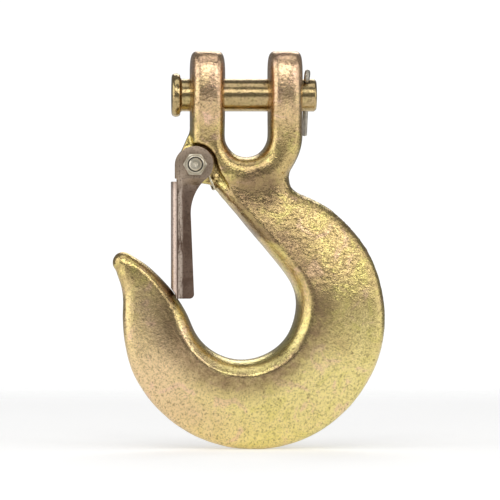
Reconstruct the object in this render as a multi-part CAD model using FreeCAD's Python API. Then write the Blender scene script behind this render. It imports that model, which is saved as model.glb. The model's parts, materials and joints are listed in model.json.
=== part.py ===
import FreeCAD, Part
import math
import os

# Clevis slip hook with a sprung safety latch, for 10 mm (3/8 in) chain.
# Row frame: millimetres, +Z up. The origin is on the load pin's axis, midway between the clevis ears.
# +X points towards the hook's back and +Y away from the side that carries the latch nut.
# The forging is symmetric about the XZ plane, which is its parting plane.

V = FreeCAD.Vector

# ---- Driving dimensions, mm ----

# Clevis: a U-shaped bar whose two ears take the load pin.
SLOT_HALF = 8.45            # half of the gap between the ears
EAR_WIDTH = 13.4            # along X
EAR_TOP = 17.1              # above the pin's axis
SLOT_ARC_Z = -15.75         # centre height of the round bottom of the slot
PIN_RADIUS = 6.35
PIN_CLEARANCE = 0.1         # radial
EAR_BORE_CHAMFER = 0.6

# Bowl and back: nearly round inside and outside, on two centres.
BOWL_CENTRE = (-1.5, -82.0)
BOWL_RADIUS = 20.9
BACK_CENTRE = (2.75, -86.5)
BACK_RADIUS = 51.4
THROAT_TOP = (-13.2, -35.0)  # where the straight throat starts, below the lug
TIP_CENTRE = (-47.85, -65.15)
TIP_RADIUS = 4.05
WAIST_RADIUS = 6.5          # hollow between the clevis and the back

# Latch hinge: a thin lug on the forging, between the latch's two ears.
PIVOT = (-20.3, -27.1)
LUG_RADIUS = 6.7
LUG_HALF = 4.75
SEAT_CENTRE = (-20.0, -27.5)  # sunk round seat in which the latch's ears turn, a little below their centre
SEAT_RADIUS = 8.5
BOLT_RADIUS = 2.5
HINGE_CLEARANCE = 0.1       # radial

# Load pin and its split pin.
PIN_HEAD_FACE = -28.95      # outer face of the head
PIN_HEAD_THICK = 3.3
PIN_HEAD_RADIUS = 8.55
PIN_END = 27.35
SPLIT_X = 23.5              # cross hole, just outside the ear
SPLIT_TILT = 35.0           # degrees by which the cross hole leans to -Y
SPLIT_RADIUS = 1.05         # of the closed double wire
SPLIT_HOLE_RADIUS = 1.3
SPLIT_LEGS = 18.5           # reach of the legs below the pin's axis
SPLIT_TURN = 78.0           # degrees by which the eye is turned about its legs
EYE_RADIUS = 1.55           # inside of the eye

# Latch: pressed from sheet, a channel with two round ears.
SHEET = 1.5
LATCH_EAR_RADIUS = 7.15
LATCH_EAR_HALF = 9.8        # outside of the ears
CHANNEL_HALF = 8.3          # outside of the channel's cheeks
WEB_X = -29.1               # outer face of the web
BEND_RADIUS = 2.3           # outside
NOTCH_X = -27.45            # the ears' back edge, above and below the web
CREASE_X = -24.3            # where the cheeks turn inwards
CREASE_ANGLE = 18.0
JOGGLE_TOP, JOGGLE_LOW = -32.4, -35.0
WEB_TOP, WEB_LOW = -33.7, -75.2
LATCH_LOW = -79.1
CHEEK_FRONT_TOP = (-21.8, -46.0)
CHEEK_FRONT_LOW = (-20.5, -77.4)
CHEEK_CORNER = 1.7

# Latch bolt, M5, and its lock nut with a nylon ring.
HEX_FLATS = 8.0
NUT_HEX_THICK = 3.6
NUT_THICK = 4.8
COLLAR_RADIUS = 3.75        # round collar that holds the nylon ring
RING_RADIUS = 3.2
LIP_RADIUS = 2.95           # inside of the lip rolled over the ring
LIP_THICK = 0.25
BOLT_HEAD_THICK = 3.5
BOLT_END_OUT = 1.0          # beyond the nut
HARDWARE_GAP = 0.15         # between the latch's ears and the hardware

# Double torsion spring.
WIRE_RADIUS = 0.45
WIRE_BEND = 1.0             # middle of the wire, at its corners
COIL_RADIUS = 3.3           # middle of the wire
COIL_ARM_Y, COIL_LEG_Y = 5.6, 7.2
COIL_TURNS = 1              # whole turns, on top of the part turn between leg and arm
LEG_END = (-12.55, -36.55)  # bears on the throat's edge
LEG_TIP_Y = 2.0
BRIDGE = (-27.1, -38.5)     # bears on the latch's web

FAR = 20.0                  # beyond the side of anything, for cutting tools


# ---- Small helpers ----

def xz(x, z, y=0.0):
    return V(x, y, z)


def on_circle(centre, radius, degrees):
    a = math.radians(degrees)
    return (centre[0] + radius * math.cos(a), centre[1] + radius * math.sin(a))


def between(a, b, t):
    return tuple(p + (q - p) * t for p, q in zip(a, b))


def smooth_loop(points):
    """A closed smooth wire through the points."""
    curve = Part.BSplineCurve()
    curve.interpolate(Points=points, PeriodicFlag=True)
    return Part.Wire(curve.toShape())


def cylinder_y(radius, y_low, y_high, centre=PIVOT):
    return Part.makeCylinder(radius, y_high - y_low, xz(*centre, y_low), V(0, 1, 0))


def plate(points, y_low, y_high):
    """A flat plate with the given outline in XZ, from y_low to y_high."""
    wire = Part.makePolygon([xz(x, z, y_low) for x, z in points + points[:1]])
    return Part.Face(wire).extrude(V(0, y_high - y_low, 0))


def mirrored(shape):
    """The shape's twin on the other side of the XZ plane."""
    return shape.mirror(V(0, 0, 0), V(0, 1, 0))


def lathe_x(profile):
    """A solid turned about the X axis from (x, radius) points."""
    points = [V(x, 0, r) for x, r in profile]
    return Part.Face(Part.makePolygon(points + points[:1])).revolve(V(0, 0, 0), V(1, 0, 0), 360)


def tangent_point(point, centre, radius, side):
    """Where a line from the point touches the circle; side is 1 or -1."""
    dx, dz = point[0] - centre[0], point[1] - centre[1]
    reach = math.hypot(dx, dz)
    angle = math.degrees(math.atan2(dz, dx) + side * math.acos(radius / reach))
    return on_circle(centre, radius, angle)


# ---- Forging ----

def hook_section(inner, outer, rim, rim_run, edge, edge_run):
    """A section of the hook's bar: it swells to a ridge near the throat and thins out to the back.
    rim is the half thickness rim_run from the throat side, and edge that at edge_run from the back."""
    length = math.hypot(outer[0] - inner[0], outer[1] - inner[1])
    middle = (rim_run + length - edge_run) / 2
    flank = 0.52 * (rim + edge)
    half = [
        (0.10 * rim_run, 0.46 * rim), (0.42 * rim_run, 0.78 * rim), (0.78 * rim_run, 0.945 * rim),
        (rim_run, rim), (rim_run + 0.3 * (middle - rim_run), rim - 0.24 * (rim - flank)),
        (middle, flank), (length - edge_run, edge), (length - 0.25 * edge_run, 0.62 * edge),
    ]
    loop = [(0.0, 0.0)] + half + [(length, 0.0)] + [(u, -v) for u, v in reversed(half)]
    return smooth_loop([xz(*between(inner, outer, u / length), v) for u, v in loop])


def waist_circle():
    """Centre of the hollow that touches the clevis bar and the back from outside."""
    near = SLOT_HALF + EAR_WIDTH + WAIST_RADIUS
    far = BACK_RADIUS + WAIST_RADIUS
    dx, dz = BACK_CENTRE[0], BACK_CENTRE[1] - SLOT_ARC_Z
    span = math.hypot(dx, dz)
    along = (span ** 2 + near ** 2 - far ** 2) / (2 * span)
    aside = math.sqrt(near ** 2 - along ** 2)
    return (
        (dx * along - dz * aside) / span,
        SLOT_ARC_Z + (dz * along + dx * aside) / span,
    )


def hook_bar():
    """The bar from the neck round the bowl to the point."""
    waist = waist_circle()
    throat_end = on_circle(BOWL_CENTRE, BOWL_RADIUS, 41)

    def throat(t):
        return between(THROAT_TOP, throat_end, t)

    def back(degrees):
        return on_circle(BACK_CENTRE, BACK_RADIUS, degrees)

    def bowl(degrees):
        return on_circle(BOWL_CENTRE, BOWL_RADIUS, degrees)

    def hollow(degrees):
        return on_circle(waist, WAIST_RADIUS, degrees)

    # inner point, outer point, rim, rim_run, edge, edge_run
    stations = [
        (throat(-0.02), hollow(172), 8.3, 5.0, 7.6, 6.0),
        (throat(0.10), hollow(208), 8.5, 4.6, 7.2, 6.0),
        (throat(0.24), hollow(243), 9.0, 4.4, 6.6, 6.0),
        (throat(0.44), back(61), 9.8, 4.4, 6.0, 6.0),
        (throat(0.68), back(49), 10.5, 4.6, 5.5, 5.5),
        (throat(0.92), back(35), 11.0, 5.0, 5.2, 5.2),
        (bowl(23), back(19), 11.2, 5.4, 5.0, 5.0),
        (bowl(0), back(0), 11.2, 5.6, 5.0, 5.0),
        (bowl(-28), back(-23), 11.2, 5.8, 5.0, 5.0),
        (bowl(-56), back(-53), 11.2, 6.0, 5.0, 5.0),
        (bowl(-84), back(-83), 11.2, 6.0, 5.0, 5.0),
        (bowl(-110), back(-111), 11.0, 5.8, 5.0, 5.0),
        (bowl(-134), back(-136), 10.4, 5.4, 5.0, 5.0),
        (bowl(-154), back(-156), 9.6, 4.9, 4.9, 4.8),
        ((-22.5, -86.0), (-47.1, -96.5), 8.6, 4.4, 4.8, 4.5),
        ((-25.6, -80.5), (-47.9, -88.2), 7.7, 4.0, 4.7, 4.2),
        ((-30.0, -74.7), (-47.8, -80.6), 6.8, 3.6, 4.5, 3.8),
        ((-35.3, -69.1), (-48.5, -74.6), 5.8, 3.2, 4.3, 3.2),
        ((-40.8, -64.8), (-50.1, -69.7), 4.8, 3.0, 4.0, 2.8),
    ]
    # The point's last ring: round, on the ball that closes the bar.
    x, z = TIP_CENTRE
    across = (0.56, 0.83)
    ends = [(x + across[0] * r, z + across[1] * r) for r in (TIP_RADIUS, -TIP_RADIUS)]
    rings = [hook_section(*station) for station in stations]
    rings.append(hook_section(ends[0], ends[1], TIP_RADIUS, TIP_RADIUS, 3.95, 3.3))
    ball = Part.makeSphere(TIP_RADIUS, xz(*TIP_CENTRE))
    return Part.makeLoft(rings, True, False).fuse(ball)


def clevis_section(middle, across, width, half_depth, power):
    """A rounded section of the clevis bar: a superellipse, width across and half_depth along Y."""
    points = []
    for i in range(16):
        a = 2 * math.pi * i / 16
        c, s = math.cos(a), math.sin(a)
        u = width / 2 * math.copysign(abs(c) ** (2 / power), c)
        v = half_depth * math.copysign(abs(s) ** (2 / power), s)
        points.append(xz(middle[0] + u * across[0], middle[1] + u * across[1], v))
    return smooth_loop(points)


def clevis_bar():
    """The U-shaped bar: two ears with a round eye each, joined by the saddle under the slot."""
    # height, width, half depth, squareness of the section
    ear = [
        (EAR_TOP, 8.6, 5.0, 2.6), (16.75, 10.6, 7.6, 2.9), (15.6, 12.2, 9.9, 3.2), (13.0, 13.1, 11.9, 3.5),
        (8.0, EAR_WIDTH, 13.2, 3.6), (1.0, EAR_WIDTH, 13.6, 3.6), (-6.0, EAR_WIDTH, 12.6, 3.5),
        (-12.0, EAR_WIDTH, 11.0, 3.3),
    ]
    # angle round the slot's bottom, width, half depth, squareness
    saddle = [
        (184, EAR_WIDTH, 10.3, 3.1), (206, 13.4, 9.9, 2.9), (228, 13.5, 9.9, 2.8), (250, 13.6, 10.1, 2.7),
        (270, 13.7, 10.2, 2.7), (290, 13.6, 10.1, 2.7), (312, 13.5, 9.9, 2.8), (334, 13.4, 9.9, 2.9),
        (356, EAR_WIDTH, 10.3, 3.1),
    ]
    ear_x = SLOT_HALF + EAR_WIDTH / 2
    left = [clevis_section((-ear_x, z), (1, 0), w, d, n) for z, w, d, n in ear]
    right = [clevis_section((ear_x, z), (-1, 0), w, d, n) for z, w, d, n in reversed(ear)]
    base = []
    for degrees, width, depth, power in saddle:
        middle = on_circle((0, SLOT_ARC_Z), SLOT_HALF + width / 2, degrees)
        a = math.radians(degrees)
        base.append(clevis_section(middle, (-math.cos(a), -math.sin(a)), width, depth, power))
    return Part.makeLoft(left + base + right, True, False)


def lug():
    """The thin lug that carries the latch bolt, joined to the ear above and the neck below."""
    ear_side = (-SLOT_HALF - EAR_WIDTH + 0.6, -13.0)
    upper = tangent_point(ear_side, PIVOT, LUG_RADIUS, 1)
    lower = tangent_point(THROAT_TOP, PIVOT, LUG_RADIUS, -1)
    web = plate(
        [ear_side, upper, PIVOT, lower, THROAT_TOP, (-6.0, -38.0), (-6.0, -28.0), (-14.0, -16.0)],
        -LUG_HALF, LUG_HALF,
    )
    return web.fuse(cylinder_y(LUG_RADIUS, -LUG_HALF, LUG_HALF))


def recess():
    """What is sunk into one side of the neck, so that the latch's ear and the spring's leg can turn."""
    seat = cylinder_y(SEAT_RADIUS, LUG_HALF, FAR, SEAT_CENTRE)
    # The spring's leg runs down a way that gets shallower along the throat.
    floor = [(LUG_HALF, -26.0), (LUG_HALF, -31.0), (10.0, -43.0), (FAR, -43.0), (FAR, -26.0)]
    corners = [V(-30, y, z) for y, z in floor]
    wedge = Part.Face(Part.makePolygon(corners + corners[:1])).extrude(V(30, 0, 0))
    inner_edge = [(-12.5, -24.0), (-10.3, -30.0), (-6.8, -36.4), (-2.8, -41.2)]
    way = plate([(-24.0, -26.0)] + inner_edge + [(-24.0, -43.0)], 0, FAR)
    return seat.fuse(wedge.common(way))


def hook():
    sunk = recess()
    body = hook_bar().fuse(clevis_bar()).cut(sunk).cut(mirrored(sunk)).fuse(lug())
    reach = SLOT_HALF + EAR_WIDTH + 2
    bore = PIN_RADIUS + PIN_CLEARANCE
    body = body.cut(Part.makeCylinder(bore, 2 * reach, V(-reach, 0, 0), V(1, 0, 0)))
    mouth = lathe_x([
        (SLOT_HALF + EAR_WIDTH - EAR_BORE_CHAMFER, 0), (SLOT_HALF + EAR_WIDTH - EAR_BORE_CHAMFER, bore),
        (reach, bore + reach - SLOT_HALF - EAR_WIDTH + EAR_BORE_CHAMFER), (reach, 0),
    ])
    body = body.cut(mouth).cut(mouth.mirror(V(0, 0, 0), V(1, 0, 0)))
    return body.cut(cylinder_y(BOLT_RADIUS + HINGE_CLEARANCE, -FAR, FAR))


# ---- Load pin and split pin ----

def split_axis():
    a = math.radians(SPLIT_TILT)
    return V(0, -math.sin(a), math.cos(a))


def clevis_pin():
    head_in = PIN_HEAD_FACE + PIN_HEAD_THICK
    pin = lathe_x([
        (PIN_HEAD_FACE, 0), (PIN_HEAD_FACE, PIN_HEAD_RADIUS - 1.0),
        (PIN_HEAD_FACE + 0.5, PIN_HEAD_RADIUS - 0.35),
        (PIN_HEAD_FACE + 1.6, PIN_HEAD_RADIUS), (head_in - 0.5, PIN_HEAD_RADIUS - 0.3),
        (head_in, PIN_HEAD_RADIUS - 0.9), (head_in, PIN_RADIUS + 0.5), (head_in + 0.5, PIN_RADIUS),
        (PIN_END - 0.8, PIN_RADIUS), (PIN_END, PIN_RADIUS - 0.8), (PIN_END, 0),
    ])
    axis = split_axis()
    hole = Part.makeCylinder(SPLIT_HOLE_RADIUS, 20, V(SPLIT_X, 0, 0) - axis * 10, axis)
    return pin.cut(hole)


def split_pin():
    """Half-round wire folded double: two legs and an eye."""
    gap = 0.04                # between each leg's flat and the middle
    shoulder = 1.7            # inside radius of the bend from leg to eye
    foot = PIN_RADIUS - 0.15  # where the bend starts, above the pin's axis
    aside = gap + shoulder
    rise = math.sqrt((shoulder + EYE_RADIUS) ** 2 - aside ** 2)
    eye = foot + rise
    meet = shoulder / (shoulder + EYE_RADIUS)
    turn = math.asin(rise / (shoulder + EYE_RADIUS))
    axis = split_axis()
    across = FreeCAD.Rotation(axis, SPLIT_TURN).multVec(V(1, 0, 0))

    def at(p, q):
        return V(SPLIT_X, 0, 0) + across * p + axis * q

    def shoulder_arc(side):
        half = turn / 2
        middle = at(side * (aside - shoulder * math.cos(half)), foot + shoulder * math.sin(half))
        return Part.Arc(at(side * gap, foot), middle, at(side * aside * (1 - meet), foot + rise * meet))

    ends = [at(s * aside * (1 - meet), foot + rise * meet) for s in (-1, 1)]
    path = Part.Wire([
        Part.LineSegment(at(-gap, -SPLIT_LEGS), at(-gap, foot)).toShape(),
        shoulder_arc(-1).toShape(),
        Part.Arc(ends[0], at(0, eye + EYE_RADIUS), ends[1]).toShape(),
        shoulder_arc(1).toShape(),
        Part.LineSegment(at(gap, foot), at(gap, -SPLIT_LEGS)).toShape(),
    ])
    start = at(-gap, -SPLIT_LEGS)
    side = axis.cross(across)
    flat = SPLIT_RADIUS - gap
    corners = (start + side * flat, start - side * flat)
    half_round = Part.Wire([
        Part.Arc(corners[0], start - across * flat, corners[1]).toShape(),
        Part.LineSegment(corners[1], corners[0]).toShape(),
    ])
    sweep = Part.BRepOffsetAPI.MakePipeShell(path)
    sweep.setBiNormalMode(side)
    sweep.add(half_round)
    sweep.build()
    sweep.makeSolid()
    return sweep.shape()


# ---- Latch ----

def cheek_outline():
    """The latch's outline from the side: a round ear that narrows to the channel's cheek."""
    ear = Part.Face(Part.Wire(Part.Circle(xz(*PIVOT, -FAR), V(0, 1, 0), LATCH_EAR_RADIUS).toShape()))
    neck_right = on_circle(PIVOT, LATCH_EAR_RADIUS, -42)
    neck_mid = (-19.7, -37.6)
    low = LATCH_LOW
    turn = (CHEEK_FRONT_LOW[0] - CHEEK_CORNER, low)
    corner_mid = (CHEEK_FRONT_LOW[0] - 0.3 * CHEEK_CORNER, low + 0.3 * CHEEK_CORNER)

    def line(a, b):
        return Part.LineSegment(xz(*a, -FAR), xz(*b, -FAR)).toShape()

    def arc(a, b, c):
        return Part.Arc(xz(*a, -FAR), xz(*b, -FAR), xz(*c, -FAR)).toShape()

    edges = [
        line(PIVOT, neck_right), arc(neck_right, neck_mid, CHEEK_FRONT_TOP),
        line(CHEEK_FRONT_TOP, CHEEK_FRONT_LOW), arc(CHEEK_FRONT_LOW, corner_mid, turn),
        line(turn, (WEB_X - 1, low)), line((WEB_X - 1, low), (WEB_X - 1, WEB_TOP)),
        line((WEB_X - 1, WEB_TOP), (NOTCH_X, WEB_TOP)), line((NOTCH_X, WEB_TOP), (NOTCH_X, PIVOT[1])),
        line((NOTCH_X, PIVOT[1]), PIVOT),
    ]
    flank = Part.Face(Part.Wire(edges))
    return ear.extrude(V(0, 2 * FAR, 0)).fuse(flank.extrude(V(0, 2 * FAR, 0)))


def channel():
    """The channel: web, two round bends and two cheeks that turn inwards at a crease."""
    slope = math.tan(math.radians(CREASE_ANGLE))
    far = CREASE_X + 8.0
    drop = slope * (far - CREASE_X)
    inner_half = CHANNEL_HALF - SHEET
    inner_bend = BEND_RADIUS - SHEET
    diagonal = math.sqrt(0.5)

    def bend(radius, x_flat, half):
        """The round corner between the web and the cheek, on the +Y side."""
        centre = (x_flat + radius, half - radius)
        return Part.Arc(
            V(x_flat, centre[1], 0),
            V(centre[0] - radius * diagonal, centre[1] + radius * diagonal, 0),
            V(centre[0], half, 0),
        ).toShape()

    outer_bend_x = WEB_X + BEND_RADIUS
    inner_bend_x = WEB_X + SHEET + inner_bend
    run = [V(outer_bend_x, CHANNEL_HALF, 0), V(CREASE_X, CHANNEL_HALF, 0), V(far, CHANNEL_HALF - drop, 0)]
    back = [V(far, inner_half - drop, 0), V(CREASE_X, inner_half, 0), V(inner_bend_x, inner_half, 0)]
    lines = [Part.LineSegment(a, b).toShape() for a, b in zip(run + back, (run + back)[1:])]
    half = [bend(BEND_RADIUS, WEB_X, CHANNEL_HALF)] + lines + [bend(inner_bend, WEB_X + SHEET, inner_half)]
    middle = [
        Part.LineSegment(V(WEB_X, 0, 0), V(WEB_X, CHANNEL_HALF - BEND_RADIUS, 0)).toShape(),
        Part.LineSegment(V(WEB_X + SHEET, inner_half - inner_bend, 0), V(WEB_X + SHEET, 0, 0)).toShape(),
    ]
    closing = Part.LineSegment(V(WEB_X + SHEET, 0, 0), V(WEB_X, 0, 0)).toShape()
    wire = Part.Wire(Part.__sortEdges__(half + middle + [closing]))
    side = Part.Face(wire).extrude(V(0, 0, WEB_TOP - LATCH_LOW))
    side.translate(V(0, 0, LATCH_LOW))
    # Above the joggle's foot only the web and its bends go on.
    side = side.cut(Part.makeBox(2 * FAR, 2 * FAR, FAR, V(outer_bend_x, -FAR, JOGGLE_LOW)))
    return side.fuse(mirrored(side)).removeSplitter()


def joggle():
    """One side's slanting step from the channel's cheek out to the flat ear."""
    far = CREASE_X + 14.0
    drop = math.tan(math.radians(CREASE_ANGLE)) * (far - CREASE_X)
    start = WEB_X + BEND_RADIUS

    def ring(z, outer, fall):
        inner = outer - SHEET
        corners = [
            (start, outer), (CREASE_X, outer), (far, outer - fall),
            (far, inner - fall), (CREASE_X, inner), (start, inner),
        ]
        return Part.makePolygon([V(x, y, z) for x, y in corners + corners[:1]])

    rings = [ring(JOGGLE_LOW, CHANNEL_HALF, drop), ring(JOGGLE_TOP, LATCH_EAR_HALF, 0.0)]
    return Part.makeLoft(rings, True, True)


def latch():
    ear = Part.makeBox(2 * FAR, SHEET, 2 * FAR, V(-2 * FAR, LATCH_EAR_HALF - SHEET, JOGGLE_TOP))
    side = ear.fuse(joggle())
    sheet = channel().fuse([side, mirrored(side)])
    shape = sheet.common(cheek_outline())
    # The web's lower edge lies along the hook's point.
    slant = [(WEB_X - 2, WEB_LOW + 2.8), (NOTCH_X, WEB_LOW - 2.3)]
    below = [(NOTCH_X, LATCH_LOW - 1), (WEB_X - 2, LATCH_LOW - 1)]
    shape = shape.cut(plate(slant + below, -FAR, FAR))
    return shape.cut(cylinder_y(BOLT_RADIUS + HINGE_CLEARANCE, -FAR, FAR)).removeSplitter()


# ---- Bolt, nut and spring ----

def hexagon(y_low, y_high):
    """A hexagonal prism along Y with its corners to the left and right, chamfered on its outer end."""
    corner = HEX_FLATS / math.sqrt(3)
    prism = plate([on_circle(PIVOT, corner, 60 * i) for i in range(6)], y_low, y_high)
    outer_at = y_high if y_high > 0 else y_low
    inward = -1 if y_high > 0 else 1
    thick = y_high - y_low
    slope = 0.5
    wide = HEX_FLATS / 2 + thick / slope
    cone = Part.makeCone(HEX_FLATS / 2 * 0.97, wide, thick, xz(*PIVOT, outer_at), V(0, inward, 0))
    return prism.common(cone)


def latch_bolt():
    head_low = LATCH_EAR_HALF + HARDWARE_GAP
    end = -(head_low + NUT_THICK + BOLT_END_OUT)
    chamfer = 0.5
    shank = cylinder_y(BOLT_RADIUS, end + chamfer, head_low)
    nose = Part.makeCone(BOLT_RADIUS - chamfer, BOLT_RADIUS, chamfer, xz(*PIVOT, end), V(0, 1, 0))
    bolt = shank.fuse([nose, hexagon(head_low, head_low + BOLT_HEAD_THICK)])
    centre_mark = Part.makeSphere(1.2, xz(*PIVOT, end - 0.8))
    return bolt.cut(centre_mark).removeSplitter()


def ring_y(profile):
    """A solid turned about the latch's hinge axis from (radius, y) points."""
    points = [V(PIVOT[0] + r, y, PIVOT[1]) for r, y in profile]
    return Part.Face(Part.makePolygon(points + points[:1])).revolve(xz(*PIVOT), V(0, 1, 0), 360)


def latch_nut():
    face = -(LATCH_EAR_HALF + HARDWARE_GAP)
    shoulder, end = face - NUT_HEX_THICK, face - NUT_THICK
    collar = ring_y([
        (BOLT_RADIUS, shoulder + 0.5), (COLLAR_RADIUS, shoulder + 0.5), (COLLAR_RADIUS, end + 0.7),
        (COLLAR_RADIUS - 0.25, end + 0.2), (COLLAR_RADIUS - 0.7, end), (LIP_RADIUS, end),
        (LIP_RADIUS, end + LIP_THICK), (RING_RADIUS, end + LIP_THICK), (RING_RADIUS, shoulder),
        (BOLT_RADIUS, shoulder),
    ])
    return hexagon(shoulder, face).cut(cylinder_y(BOLT_RADIUS, -FAR, 0)).fuse(collar).removeSplitter()


def nut_ring():
    shoulder = -(LATCH_EAR_HALF + HARDWARE_GAP + NUT_HEX_THICK)
    end = -(LATCH_EAR_HALF + HARDWARE_GAP + NUT_THICK) + LIP_THICK
    return cylinder_y(RING_RADIUS, end, shoulder).cut(cylinder_y(BOLT_RADIUS, -FAR, 0))


def wire_disc(point, heading):
    return Part.Face(Part.Wire(Part.Circle(point, heading, WIRE_RADIUS).toShape()))


def straight_wire(a, b):
    return Part.makeCylinder(WIRE_RADIUS, (b - a).Length, a, b - a)


def bent_wire(before, corner, after):
    """Where a round bend in the wire starts and ends, and the bend itself."""
    u = (before - corner).normalize()
    w = (after - corner).normalize()
    half = u.getAngle(w) / 2
    reach = WIRE_BEND / math.tan(half)
    start, end = corner + u * reach, corner + w * reach
    centre = corner + (u + w).normalize() * (WIRE_BEND / math.sin(half))
    return start, end, wire_disc(start, u).revolve(centre, w.cross(u), 180 - math.degrees(2 * half))


def half_spring():
    """The wire on the +Y side: foot, leg, coil, arm and half of the bridge."""
    leg_on = tangent_point(LEG_END, PIVOT, COIL_RADIUS, 1)
    arm_off = tangent_point(BRIDGE, PIVOT, COIL_RADIUS, -1)
    first = math.atan2(leg_on[1] - PIVOT[1], leg_on[0] - PIVOT[0])
    last = math.atan2(arm_off[1] - PIVOT[1], arm_off[0] - PIVOT[0])
    sweep = (last - first) % (2 * math.pi) + COIL_TURNS * 2 * math.pi
    height = COIL_LEG_Y - COIL_ARM_Y
    slope = height / (sweep * COIL_RADIUS)
    helix = Part.makeHelix(height * 2 * math.pi / sweep, height, COIL_RADIUS)
    coil = Part.BRepOffsetAPI.MakePipeShell(Part.Wire(helix.Edges))
    coil.setFrenetMode(True)
    coil.add(Part.Wire(Part.Circle(V(COIL_RADIUS, 0, 0), V(0, 1, slope), WIRE_RADIUS).toShape()))
    coil.build()
    coil.makeSolid()
    coil = coil.shape()
    radial, along = xz(math.cos(first), math.sin(first)), xz(-math.sin(first), math.cos(first))
    turned = FreeCAD.Rotation(radial, along, V(0, -1, 0), "ZXY")
    coil.Placement = FreeCAD.Placement(xz(*PIVOT, COIL_LEG_Y), turned)
    # The leg and the arm leave the coil along its own slope.
    leg_corner = xz(*LEG_END, COIL_LEG_Y + slope * math.dist(LEG_END, leg_on))
    arm_corner = xz(*BRIDGE, COIL_ARM_Y - slope * math.dist(BRIDGE, arm_off))
    foot, middle = xz(*LEG_END, LEG_TIP_Y), xz(*BRIDGE)
    coil_start, coil_end = xz(*leg_on, COIL_LEG_Y), xz(*arm_off, COIL_ARM_Y)
    heel, leg_low, heel_bend = bent_wire(foot, leg_corner, coil_start)
    arm_low, bridge_end, arm_bend = bent_wire(coil_end, arm_corner, middle)
    rods = [(foot, heel), (leg_low, coil_start), (coil_end, arm_low), (bridge_end, middle)]
    return [coil, heel_bend, arm_bend] + [straight_wire(a, b) for a, b in rods]


def latch_spring():
    half = half_spring()
    both = half + [mirrored(piece) for piece in half]
    return both[0].fuse(both[1:]).removeSplitter()


# ---- Export ----

NODES = {
    "hook_forging": hook,
    "clevis_pin": clevis_pin,
    "split_pin": split_pin,
    "safety_latch": latch,
    "latch_bolt": latch_bolt,
    "latch_nut": latch_nut,
    "nut_ring": nut_ring,
    "latch_spring": latch_spring,
}

os.makedirs("parts", exist_ok=True)
for name, make in NODES.items():
    shape = make()
    shape.exportStep(f"parts/{name}.step")
    box = shape.BoundBox
    print(
        f"{name}: solids {len(shape.Solids)}, valid {shape.isValid()}, volume {shape.Volume:.1f}, "
        f"X {box.XMin:.2f}..{box.XMax:.2f}, Y {box.YMin:.2f}..{box.YMax:.2f}, "
        f"Z {box.ZMin:.2f}..{box.ZMax:.2f}"
    )
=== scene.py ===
import json
import math

import bmesh
import bpy
import numpy as np
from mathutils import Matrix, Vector, noise


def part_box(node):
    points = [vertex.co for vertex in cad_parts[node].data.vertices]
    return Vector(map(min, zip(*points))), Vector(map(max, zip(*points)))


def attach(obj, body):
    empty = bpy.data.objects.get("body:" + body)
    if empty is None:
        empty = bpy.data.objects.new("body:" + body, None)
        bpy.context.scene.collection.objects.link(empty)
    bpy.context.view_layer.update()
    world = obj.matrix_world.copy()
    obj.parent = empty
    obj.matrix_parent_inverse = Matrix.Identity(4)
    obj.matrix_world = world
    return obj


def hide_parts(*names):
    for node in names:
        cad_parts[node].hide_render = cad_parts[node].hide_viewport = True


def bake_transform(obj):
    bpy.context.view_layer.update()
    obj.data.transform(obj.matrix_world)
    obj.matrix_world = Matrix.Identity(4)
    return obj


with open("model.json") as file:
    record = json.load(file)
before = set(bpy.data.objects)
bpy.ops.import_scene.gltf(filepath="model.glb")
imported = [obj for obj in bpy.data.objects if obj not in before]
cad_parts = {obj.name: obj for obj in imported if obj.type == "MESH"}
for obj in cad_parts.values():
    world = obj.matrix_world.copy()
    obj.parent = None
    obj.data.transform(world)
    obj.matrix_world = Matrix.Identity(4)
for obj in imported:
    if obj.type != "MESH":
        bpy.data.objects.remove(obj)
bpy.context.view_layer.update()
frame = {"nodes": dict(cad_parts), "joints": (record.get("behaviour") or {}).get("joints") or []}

MM = 0.001


# ---- Forging ----
# The hook and its clevis are one drop forging in alloy steel, plated with zinc and yellow-passivated.
# Blows of the die leave shallow dents and soft edges, and a trimmed flash line round the parting plane.
# The eyes and the latch's bolt hole are drilled afterwards, so their walls are true.

PIN_BORE, BOLT_BORE = 6.45 * MM, 2.6 * MM
EAR_REACH = 22.5 * MM                                # the ears' outer faces are nearer than this
PIVOT = Vector(frame["joints"][0]["pos_m"])          # of the latch
SEAT_REACH = 8.8 * MM                                # about how far the latch's seat reaches from the pivot
SEAT_EASE = 0.3 * MM                                 # by which the seat's floor is deeper than its design
BOWL_CENTRE = Vector((-1.5 * MM, 0, -82 * MM))
THROAT_CENTRE = Vector((-12 * MM, 0, -62 * MM))
BLEND_CENTRE = Vector((10 * MM, 0, -32 * MM))        # where the clevis runs into the neck
NECK_CENTRE = Vector((4 * MM, 0, -37 * MM))
MESH_STEP = 0.60 * MM
DIE_ROUNDS, BLEND_ROUNDS = 5, 90                     # rounds of smoothing, everywhere and in the blend
SWELL_SIZE, SWELL = 8.0 * MM, 0.07 * MM
DENT_SIZE, DENT, NECK_DENT = 1.9 * MM, 0.03 * MM, 0.22 * MM      # everywhere, and more on the neck
WRINKLE_SIZE, WRINKLE, NECK_WRINKLE = 1.7 * MM, 0.03 * MM, 0.19 * MM
SKIN_IN_BOWL, WORN_OFF_THROAT = 0.25, 0.8            # shares: left in the bowl, gone from the throat
THROAT_WEAR = 0.12 * MM
FLASH_HALF, FLASH_HEIGHT, FLASH_WAVE = 1.1 * MM, 0.16 * MM, 6 * MM


def copy_of(node, name):
    """A new object with the node's mesh, its loose seams welded."""
    mesh = frame["nodes"][node].data.copy()
    mesh.materials.clear()
    piece = bpy.data.objects.new(name, mesh)
    bpy.context.scene.collection.objects.link(piece)
    shell = bmesh.new()
    shell.from_mesh(mesh)
    bmesh.ops.remove_doubles(shell, verts=shell.verts, dist=0.004 * MM)
    shell.to_mesh(mesh)
    shell.free()
    return piece


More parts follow.
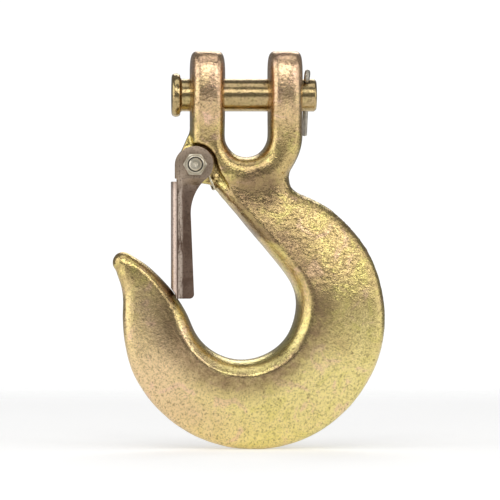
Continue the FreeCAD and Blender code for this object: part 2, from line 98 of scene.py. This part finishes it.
def apply_modifiers(piece):
    """Works the piece's modifiers into its mesh."""
    seen = piece.evaluated_get(bpy.context.evaluated_depsgraph_get())
    finished = bpy.data.meshes.new_from_object(seen)
    piece.modifiers.clear()
    piece.data = finished


def points_of(mesh):
    flat = np.empty(len(mesh.vertices) * 3)
    mesh.vertices.foreach_get("co", flat)
    return flat.reshape(-1, 3)


def normals_of(mesh):
    flat = np.empty(len(mesh.vertices) * 3)
    mesh.vertex_normals.foreach_get("vector", flat)
    return flat.reshape(-1, 3)


def move_points(mesh, points):
    mesh.vertices.foreach_set("co", points.ravel())
    mesh.update()


def ramp(value, low, high):
    """0 below low, 1 above high, smooth between."""
    t = np.clip((value - low) / (high - low), 0, 1)
    return t * t * (3 - 2 * t)


def within(value, rise, fall):
    """1 between the rise and the fall, 0 beyond them; each is where it starts and where it ends."""
    return ramp(value, *rise) * (1 - ramp(value, *fall))


def field(points, cell, seed):
    """Smooth seeded noise at each point, about -1 to 1, with features the size of cell."""
    shift = Vector((seed * 17.31, seed * 5.77, seed * 9.13))
    return np.array([noise.noise(Vector(p) / cell + shift) for p in points])


def from_line(points, centre):
    """Distance of each point from the line along Y through the centre."""
    return np.hypot(points[:, 0] - centre.x, points[:, 2] - centre.z)


def drilled(points):
    """Distance of each point from the nearest drilled wall."""
    from_pin = np.abs(np.hypot(points[:, 1], points[:, 2]) - PIN_BORE)
    from_pin = np.where(np.abs(points[:, 0]) < EAR_REACH, from_pin, 1.0)
    return np.minimum(from_pin, np.abs(from_line(points, PIVOT) - BOLT_BORE))


def melted(piece, rounds):
    """The piece's points after that many rounds of smoothing."""
    soften = piece.modifiers.new("worn die", "SMOOTH")
    soften.factor = 0.5
    soften.iterations = rounds
    seen = piece.evaluated_get(bpy.context.evaluated_depsgraph_get())
    points = points_of(seen.data)
    piece.modifiers.clear()
    return points


forging = copy_of("hook_forging", "forging")
remesh = forging.modifiers.new("even mesh", "REMESH")
remesh.mode = "VOXEL"
remesh.voxel_size = MESH_STEP
remesh.adaptivity = 0.0
apply_modifiers(forging)

# The die's corners are a little round everywhere, and well rounded where the clevis runs into the neck.
# That blend stops short of the latch's seat, and no rounding reaches a drilled wall. Here and below, a
# pair is where an edge of a zone starts and where it is complete.
BLEND_EDGE = 9 * MM, 17 * MM                         # from the blend's centre
SEAT_EDGE = SEAT_REACH + 0.3 * MM, SEAT_REACH + 2.5 * MM
DRILLED_EDGE = 0.35 * MM, 1.2 * MM                   # from a drilled wall
true_wall = points_of(forging.data)
near_drilled = drilled(true_wall)
from_pivot = from_line(true_wall, PIVOT)
off_seat = ramp(from_pivot, *SEAT_EDGE)
well_rounded = (off_seat * (1 - ramp(from_line(true_wall, BLEND_CENTRE), *BLEND_EDGE)))[:, None]
soft = melted(forging, DIE_ROUNDS) * (1 - well_rounded) + melted(forging, BLEND_ROUNDS) * well_rounded
off_wall = ramp(near_drilled, *DRILLED_EDGE)[:, None]
at = true_wall * (1 - off_wall) + soft * off_wall

# The seat's floor is a little deeper, so that the rounded corners leave the latch its way.
FLOOR_SIDES = (4.4 * MM, 4.6 * MM), (5.6 * MM, 6.6 * MM)         # from the parting plane
FLOOR_RING = (7.0 * MM, 7.6 * MM), (10 * MM, 12 * MM)            # from the pivot
side = at[:, 1]
on_floor = within(np.abs(side), *FLOOR_SIDES) * within(from_pivot, *FLOOR_RING)
at[:, 1] -= np.sign(side) * SEAT_EASE * on_floor
move_points(forging.data, at)

# Scale under the hammer leaves a wrinkled skin, deepest on the neck and shoulder. The bowl and the throat
# are worn smooth.
NECK_DEPTHS = (24 * MM, 34 * MM), (58 * MM, 84 * MM)             # below the load pin
NECK_EDGE = -20 * MM, -5 * MM                                    # across
THROAT_TURN, THROAT_EDGE = (0.15, 0.5), (34 * MM, 44 * MM)       # towards the throat; from the bowl's centre
BOWL_EDGE = 24 * MM, 29 * MM                                     # from the bowl's centre
SKIN_EDGE = 0.5 * MM, 2.5 * MM                                   # from a drilled wall
out = normals_of(forging.data)
depth = -at[:, 2]
from_bowl = from_line(at, BOWL_CENTRE)
wrinkled = within(depth, *NECK_DEPTHS) * ramp(at[:, 0], *NECK_EDGE)
to_throat = np.array(THROAT_CENTRE) - at
to_throat[:, 1] = 0
facing = (out * to_throat).sum(axis=1) / np.linalg.norm(to_throat, axis=1)
on_throat = ramp(facing, *THROAT_TURN) * (1 - ramp(from_bowl, *THROAT_EDGE))
unworn = SKIN_IN_BOWL + (1 - SKIN_IN_BOWL) * ramp(from_bowl, *BOWL_EDGE)
unworn *= 1 - WORN_OFF_THROAT * on_throat
dents = -np.clip(field(at, DENT_SIZE, 2) - 0.02, 0, None)
wrinkles = np.abs(field(at * (1.0, 1.0, 1.6), WRINKLE_SIZE, 3))
lift = SWELL * field(at, SWELL_SIZE, 1) + (DENT + NECK_DENT * wrinkled) * dents
lift = (lift + (WRINKLE + NECK_WRINKLE * wrinkled) * wrinkles) * unworn

# Flash trimmed off along the parting plane leaves a low, uneven ridge round the outside.
FLASH_EDGE = FLASH_HALF * 0.7, FLASH_HALF * 1.3                  # from the parting plane
FLASH_TURN = 0.25, 0.55                                          # of the surface to the front or back
FLASH_TOP, OUTSIDE_EDGE = (26 * MM, 34 * MM), (24 * MM, 28 * MM)     # below the pin; from the bowl's centre
edge_on = 1 - ramp(np.abs(out[:, 1]), *FLASH_TURN)
flash = edge_on * (1 - ramp(np.abs(at[:, 1]), *FLASH_EDGE))
flash *= ramp(depth, *FLASH_TOP) * ramp(from_bowl, *OUTSIDE_EDGE)
uneven = 0.75 + 0.5 * field(at, FLASH_WAVE, 4)
lift += FLASH_HEIGHT * flash * uneven - THROAT_WEAR * on_throat
free = ramp(near_drilled, *SKIN_EDGE) * off_seat
move_points(forging.data, at + out * (lift * free)[:, None])
forging.data.shade_smooth()


class Shade:
    """A socket in a node tree; arithmetic on it adds the nodes that work it out."""

    def __init__(self, tree, socket=None):
        self.tree = tree
        self.socket = socket

    def feed(self, node, **values):
        """Gives the node's inputs, by name or as _0, _1 by place, their values or links."""
        for key, value in values.items():
            key = int(key[1:]) if key.startswith("_") else key.replace("_", " ")
            if isinstance(value, Shade):
                self.tree.links.new(value.socket, node.inputs[key])
            else:
                node.inputs[key].default_value = value

    def node(self, kind, output=0, settings=None, **values):
        """The output of a new node of that kind: its settings come first, then its inputs."""
        made = self.tree.nodes.new(kind)
        for key, value in (settings or {}).items():
            setattr(made, key, value)
        self.feed(made, **values)
        return Shade(self.tree, made.outputs[output])

    def maths(self, operation, first, second):
        return self.node("ShaderNodeMath", 0, {"operation": operation}, _0=first, _1=second)

    def __add__(self, other):
        return self.maths("ADD", self, other)

    def __radd__(self, other):
        return self.maths("ADD", other, self)

    def __sub__(self, other):
        return self.maths("SUBTRACT", self, other)

    def __rsub__(self, other):
        return self.maths("SUBTRACT", other, self)

    def __mul__(self, other):
        return self.maths("MULTIPLY", self, other)

    def __rmul__(self, other):
        return self.maths("MULTIPLY", other, self)

    def clamped(self):
        return self.node("ShaderNodeClamp", 0, None, _0=self)

    def fade(self, low, high):
        """0 below low, 1 above high."""
        smooth = {"interpolation_type": "SMOOTHSTEP"}
        return self.node("ShaderNodeMapRange", 0, smooth, _0=self, _1=low, _2=high, _3=0.0, _4=1.0)

    def within(self, rise, fall):
        """1 between the rise and the fall, 0 beyond them."""
        return self.fade(*rise) * (1 - self.fade(*fall))

    def tint(self, low, high):
        """From the colour low, where this is 0, to the colour high, where it is 1."""
        low, high = (c if isinstance(c, Shade) else (*c, 1.0) for c in (low, high))
        return self.node("ShaderNodeMix", 2, {"data_type": "RGBA"}, _0=self, _6=low, _7=high)

    def grain(self, size, detail=2.0, roughness=0.5, distortion=0.0):
        """Noise with features of that size; call it on a position."""
        return self.node(
            "ShaderNodeTexNoise", 0, None, Vector=self, Scale=1 / size,
            Detail=detail, Roughness=roughness, Distortion=distortion,
        )

    def stretched(self, x, y, z):
        """The position scaled along each axis, which draws out the patterns made from it."""
        return self.node("ShaderNodeVectorMath", 0, {"operation": "MULTIPLY"}, _0=self, _1=(x, y, z))

    def distance(self, centre):
        return self.node("ShaderNodeVectorMath", "Value", {"operation": "DISTANCE"}, _0=self, _1=centre)

    def from_line(self, centre):
        """The position's distance from the line along Y through the centre."""
        return self.stretched(1, 0, 1).distance((centre.x, 0, centre.z))

    def part(self, letter):
        return self.node("ShaderNodeSeparateXYZ", "XYZ".index(letter), None, _0=self)

    def bump(self, height, depth, under=None):
        """The normal of a relief of that depth, on top of the relief under it."""
        below = {"Normal": under} if under else {}
        return self.node("ShaderNodeBump", 0, None, Height=height, Distance=depth, Strength=1.0, **below)


def finish_named(name):
    """A new material, the place on the object that its patterns start from, and its shader."""
    material = bpy.data.materials.new(name)
    material.use_nodes = True
    place = Shade(material.node_tree).node("ShaderNodeTexCoord", "Object")
    return material, place, material.node_tree.nodes["Principled BSDF"]


def yellow_passivated(name, gold, bronze, rose, green, pale, shade_umber, painted_shade_and_wrinkles, rough, speckle, pitting):
    """Zinc under a yellow passivate: a thin film whose colour drifts with its thickness, with painted shade
    in brown where its reflections go dark.
    """
    material, place, surface = finish_named(name)
    across, height = place.part("X"), place.part("Z")
    depth = 0 - height
    drift = place.grain(24 * MM, 3.0, 0.55, 0.8)
    patch = place.grain(10 * MM, 3.0, 0.6, 1.2)
    cloud = place.grain(3.5 * MM, 4.0, 0.7, 0.8)
    dots = place.grain(0.9 * MM, 5.0, 0.8, 0.6)

    # The rack held the hook by its clevis, so the film drained: rosy at the ears, yellow-green at the bowl.
    low_down = (drift * 60 * MM + depth - 30 * MM).fade(66 * MM, 108 * MM)
    left_side = (drift * 50 * MM - across - 25 * MM).fade(-8 * MM, 34 * MM)
    high_up = (drift * 40 * MM + height - 20 * MM).fade(-22 * MM, 12 * MM)
    colour = cloud.fade(0.36, 0.64).tint(bronze, gold)
    colour = (low_down * 0.85).tint(colour, pale)
    colour = (patch.fade(0.48, 0.66) * 0.65).tint(colour, green)
    colour = (left_side * 0.55 * low_down).tint(colour, rose)
    colour = (high_up * 0.7 + (1 - patch).fade(0.56, 0.68) * 0.5).clamped().tint(colour, rose)

    # Painted shade in a brown tint: beyond the rim's ridge it stands for the dark reflection in the hollow
    # there, and on the neck for the shade of the hook's own body.
    past_rim = place.from_line(BOWL_CENTRE) + drift * 6 * MM
    painted_rim_reflection = past_rim.within((28.5 * MM, 30.5 * MM), (31.5 * MM, 42 * MM))
    neck = 1 - (place.from_line(NECK_CENTRE) + drift * 8 * MM).fade(9 * MM, 17 * MM)
    painted_shade = (painted_rim_reflection + neck * 1.2).clamped() * (cloud.fade(0.30, 0.62) * 0.4 + 0.6)
    colour = (painted_shade * painted_shade_and_wrinkles).tint(colour, shade_umber)
    colour = (dots.fade(0.47, 0.66) * speckle).tint(colour, tuple(0.30 * c for c in bronze))

    # The skin is finer than the mesh can hold: grit and orange peel all over, wrinkles on the shoulder.
    grit = place.bump(place.grain(0.9 * MM, 5.0, 0.75), 0.085 * MM * pitting)
    orange_peel = place.bump(place.grain(1.8 * MM, 3.0, 0.6), 0.10 * MM * pitting, grit)
    shoulder = across.fade(-16 * MM, 0.0) * depth.within((26 * MM, 36 * MM), (62 * MM, 88 * MM))
    wrinkle = place.stretched(1.0, 1.0, 1.5).grain(1.9 * MM, 2.0, 0.5, 1.0)
    place.feed(
        surface,
        Base_Color=colour,
        Metallic=1.0,
        Roughness=rough + 0.12 * cloud + 0.12 * dots,
        Normal=place.bump(wrinkle * shoulder, 0.26 * MM * painted_shade_and_wrinkles, orange_peel),
    )
    return material


forging.data.materials.append(yellow_passivated(
    "forged gold", gold=(0.72, 0.54, 0.24), bronze=(0.56, 0.41, 0.18), rose=(0.82, 0.54, 0.39),
    green=(0.74, 0.64, 0.21), pale=(0.88, 0.75, 0.31), shade_umber=(0.27, 0.18, 0.10),
    painted_shade_and_wrinkles=0.97, rough=0.11, speckle=0.80, pitting=1.0,
))
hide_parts("hook_forging")
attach(forging, "hook")


# ---- Load pin ----
# A headed pin, upset from bar, turned and drilled across for the split pin, with the forging's plating.
# It is dropped through both ears and turns freely in them.

EASED_FROM = 35.0                                    # degrees; an edge sharper than this is eased


def eased(node, name, width, eased_from=EASED_FROM):
    """The node's mesh with its sharp edges rounded off by that width."""
    piece = copy_of(node, name)
    clean = bmesh.new()
    clean.from_mesh(piece.data)
    flat = math.radians(0.2)
    bmesh.ops.dissolve_limit(clean, angle_limit=flat, verts=clean.verts, edges=clean.edges)
    clean.to_mesh(piece.data)
    clean.free()
    ease = piece.modifiers.new("eased edges", "BEVEL")
    ease.width = width
    ease.segments = 3
    ease.limit_method = "ANGLE"
    ease.angle_limit = math.radians(eased_from)
    apply_modifiers(piece)
    piece.data.shade_smooth()
    piece.data.set_sharp_from_angle(angle=math.radians(32))
    return piece


load_pin = eased("clevis_pin", "load_pin", 0.12 * MM)
load_pin.data.materials.append(yellow_passivated(
    "turned gold", gold=(0.56, 0.42, 0.18), bronze=(0.40, 0.30, 0.12), rose=(0.52, 0.38, 0.22),
    green=(0.52, 0.46, 0.17), pale=(0.72, 0.62, 0.32), shade_umber=(0.34, 0.235, 0.13),
    painted_shade_and_wrinkles=0.0, rough=0.06, speckle=0.7, pitting=0.45,
))
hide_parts("clevis_pin")
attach(load_pin, "clevis_pin")


# ---- Split pin ----
# Half-round soft steel wire folded double, so that its legs fill the cross hole and its eye stops it.
# It is pushed in from above and its legs are left nearly straight.

def plain_steel(name, light, dark, rough, streak=1.0):
    """Bare or dull-plated steel: cloudy, with dark specks and drawing marks along its length."""
    material, place, surface = finish_named(name)
    cloud = place.grain(4.0 * MM, 3.0, 0.6, 0.5)
    specks = place.grain(0.6 * MM, 2.0, 0.6).fade(0.58, 0.72)
    drawn = place.stretched(1, 1, 0.12).grain(0.45 * MM, 2.0, 0.55)
    colour = cloud.fade(0.35, 0.65).tint(dark, light)
    place.feed(
        surface,
        Base_Color=(specks * 0.45).tint(colour, tuple(0.4 * c for c in dark)),
        Metallic=0.9,
        Roughness=rough + 0.12 * cloud + 0.15 * specks,
        Normal=place.bump(drawn, 0.035 * MM * streak),
    )
    return material


split_pin = copy_of("split_pin", "split_pin_wire")
split_pin.data.shade_smooth()
split_pin.data.set_sharp_from_angle(angle=math.radians(40))
split_pin.data.materials.append(plain_steel("dull wire", (0.52, 0.48, 0.40), (0.33, 0.30, 0.25), 0.34))
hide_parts("split_pin")
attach(split_pin, "split_pin")


# ---- Safety latch ----
# Pressed from 1.5 mm sheet: a web with two cheeks, which open out above into round ears for the bolt.
# Dark brown-grey sheet: the paler web bend is a painted reflection, the paler ears are painted light, and
# the bright streaks down the edge of each cheek are painted highlights.

def latch_finish():
    material, place, surface = finish_named("latch sheet")
    cloud = place.grain(7.0 * MM, 4.0, 0.6, 0.8)
    rub_marks_and_sheen = place.stretched(1.0, 1.0, 0.16).grain(1.4 * MM, 4.0, 0.65, 0.4)
    specks = place.grain(0.7 * MM, 3.0, 0.75)
    along = place.part("X") + cloud * 0.5 * MM
    # Painted reflection: the web's bend, curving towards the left, is painted pale as if it caught the light
    # from that side.
    painted_bend_reflection = 1 - along.fade(-27.2 * MM, -26.8 * MM)
    # Painted highlights: bright streaks down the edge of each cheek, broken up by the same noise as the rub
    # marks.
    painted_edge_highlights = along.within((-26.7 * MM, -26.4 * MM), (-25.4 * MM, -24.4 * MM)) * rub_marks_and_sheen.fade(0.38, 0.54)
    # Painted light: the ears, which face forward, are painted lighter than the cheeks below them, which turn
    # away.
    painted_ear_light = (place.part("Z") + cloud * 4 * MM).fade(-36 * MM, -29 * MM)
    colour = cloud.fade(0.35, 0.68).tint((0.105, 0.066, 0.047), (0.175, 0.12, 0.09))
    colour = (painted_edge_highlights * 0.85).tint(colour, (0.56, 0.46, 0.38))
    colour = (painted_ear_light * 0.9).tint(colour, (0.40, 0.31, 0.23))
    colour = (painted_bend_reflection * (1 - painted_ear_light)).tint(colour, (0.62, 0.49, 0.41))
    colour = (specks.fade(0.52, 0.64) * (0.7 - 0.35 * painted_bend_reflection)).tint(colour, (0.085, 0.058, 0.042))
    place.feed(
        surface,
        Base_Color=colour,
        Metallic=0.92,
        Roughness=0.26 + 0.14 * cloud + 0.14 * specks,
        Normal=place.bump(rub_marks_and_sheen, 0.045 * MM, place.bump(specks, 0.04 * MM)),
    )
    return material


latch = eased("safety_latch", "latch_sheet", 0.16 * MM, eased_from=30.0)
latch.data.materials.append(latch_finish())
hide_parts("safety_latch")
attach(latch, "latch")


# ---- Latch bolt, lock nut and its ring ----
# An M5 hexagon bolt through the ears and the lug, and a lock nut whose collar holds a nylon ring.
# Zinc-plated, with the bolt's chamfered end standing just proud of the nut.

def nylon_finish():
    material, place, surface = finish_named("nylon")
    mottle = place.grain(0.8 * MM, 2.0, 0.5)
    place.feed(
        surface,
        Base_Color=mottle.fade(0.35, 0.65).tint((0.020, 0.018, 0.016), (0.045, 0.040, 0.034)),
        Roughness=0.42 + 0.15 * mottle,
        Normal=place.bump(mottle, 0.03 * MM),
    )
    return material


bright_zinc = plain_steel("zinc plate", (0.66, 0.60, 0.48), (0.46, 0.41, 0.31), 0.27, streak=0.5)
bolt = eased("latch_bolt", "hinge_bolt", 0.10 * MM)
bolt.data.materials.append(bright_zinc)
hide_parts("latch_bolt")
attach(bolt, "hook")

nut = eased("latch_nut", "hinge_nut", 0.12 * MM)
nut.data.materials.append(bright_zinc)
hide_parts("latch_nut")
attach(nut, "hook")

ring = eased("nut_ring", "nylon_ring", 0.06 * MM)
ring.data.materials.append(nylon_finish())
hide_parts("nut_ring")
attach(ring, "hook")


# ---- Latch spring ----
# Double torsion spring in 0.9 mm hard-drawn wire: a coil on the bolt each side of the lug, a bridge that
# pushes the latch's web outwards, and two legs that bear on the throat.

spring = copy_of("latch_spring", "spring_wire")
spring.data.shade_smooth()
spring.data.materials.append(plain_steel("spring wire", (0.74, 0.68, 0.52), (0.52, 0.46, 0.32), 0.24))
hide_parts("latch_spring")
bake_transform(spring)


# ---- Studio ----
# The hook stands on its bowl on pale paper that fades out at its edge, inside a white surround.
# Soft boxes to the left and right, above, in front and behind shape it.

low, high = (Vector(v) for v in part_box("hook_forging"))
middle = (low + high) / 2
PAPER_RADIUS, PAPER_FADE = 0.75, 0.35

disc = bmesh.new()
bmesh.ops.create_circle(disc, cap_ends=True, segments=96, radius=PAPER_RADIUS)
paper_mesh = bpy.data.meshes.new("paper")
disc.to_mesh(paper_mesh)
disc.free()
sheet = bpy.data.objects.new("paper", paper_mesh)
sheet.location = (middle.x, 0, low.z)
bpy.context.scene.collection.objects.link(sheet)
paper, place, surface = finish_named("paper")
place.feed(
    surface,
    Base_Color=place.grain(3 * MM, 3.0, 0.6).tint((0.86, 0.86, 0.855), (0.90, 0.90, 0.895)),
    Roughness=0.9,
    Alpha=1 - place.distance((0, 0, 0)).fade(PAPER_FADE, PAPER_RADIUS - 0.02),
    Emission_Color=(1, 1, 1, 1),
    Emission_Strength=0.30,
    Normal=place.bump(place.grain(0.6 * MM, 3.0, 0.6), 0.02 * MM),
)
paper_mesh.materials.append(paper)

# Each one's name, its place, width and height in metres, and its watts.
soft_boxes = [
    ("overhead box", (0.05, -0.25, 0.85), 1.2, 0.5, 1.8),
    ("key box", (-0.10, -0.85, 0.45), 0.7, 0.35, 2.4),
    ("shoulder box", (0.60, -0.80, 0.35), 0.35, 0.35, 1.5),
    ("left box", (-0.85, -0.25, 0.05), 0.9, 1.2, 5.2),
    ("right box", (0.95, -0.30, 0.00), 0.8, 1.2, 3.0),
    ("back box", (0.10, 0.90, 0.65), 0.7, 0.6, 3.0),
]
for name, stand, wide, tall, watts in soft_boxes:
    light = bpy.data.lights.new(name, "AREA")
    light.shape = "RECTANGLE"
    light.size, light.size_y = wide, tall
    light.energy = watts
    lamp = bpy.data.objects.new(name, light)
    lamp.location = stand
    lamp.rotation_euler = (middle - Vector(stand)).to_track_quat("-Z", "Y").to_euler()
    bpy.context.scene.collection.objects.link(lamp)

# The surround looks white, but lights the hook only weakly, so that the boxes shape it.
SURROUND_LIGHT, SEEN_GLOW = 0.22, 0.85               # on the hook, and added where it is looked at
world = bpy.data.worlds.new("studio")
world.use_nodes = True
surround = Shade(world.node_tree)
seen_directly = surround.node("ShaderNodeLightPath")
surround.feed(
    world.node_tree.nodes["Background"],
    Color=(1, 1, 1, 1), Strength=seen_directly * SEEN_GLOW + SURROUND_LIGHT,
)
bpy.context.scene.world = world

# The camera looks almost straight at the hook's face, from a little to its left and level with its middle.
VIEW_YAW, VIEW_TILT = math.radians(-3.0), math.radians(0.5)
VIEW_DISTANCE = 1.6
VIEW_WIDTH = 194.8 * MM                              # at the hook
AIM = Vector((1.56 * MM, 0, -60.3 * MM))
SENSOR = 36.0
camera = bpy.data.cameras.new("camera")
camera.sensor_width = SENSOR
camera.lens = SENSOR * VIEW_DISTANCE / VIEW_WIDTH
camera.clip_start, camera.clip_end = 0.05, 20.0
eye = bpy.data.objects.new("camera", camera)
level = math.cos(VIEW_TILT)
away = Vector((math.sin(VIEW_YAW) * level, -math.cos(VIEW_YAW) * level, math.sin(VIEW_TILT)))
eye.location = AIM + away * VIEW_DISTANCE
eye.rotation_euler = (-away).to_track_quat("-Z", "Y").to_euler()
bpy.context.scene.collection.objects.link(eye)
bpy.context.scene.camera = eye
bpy.context.scene.view_settings.view_transform = "Standard"

bpy.context.view_layer.update()
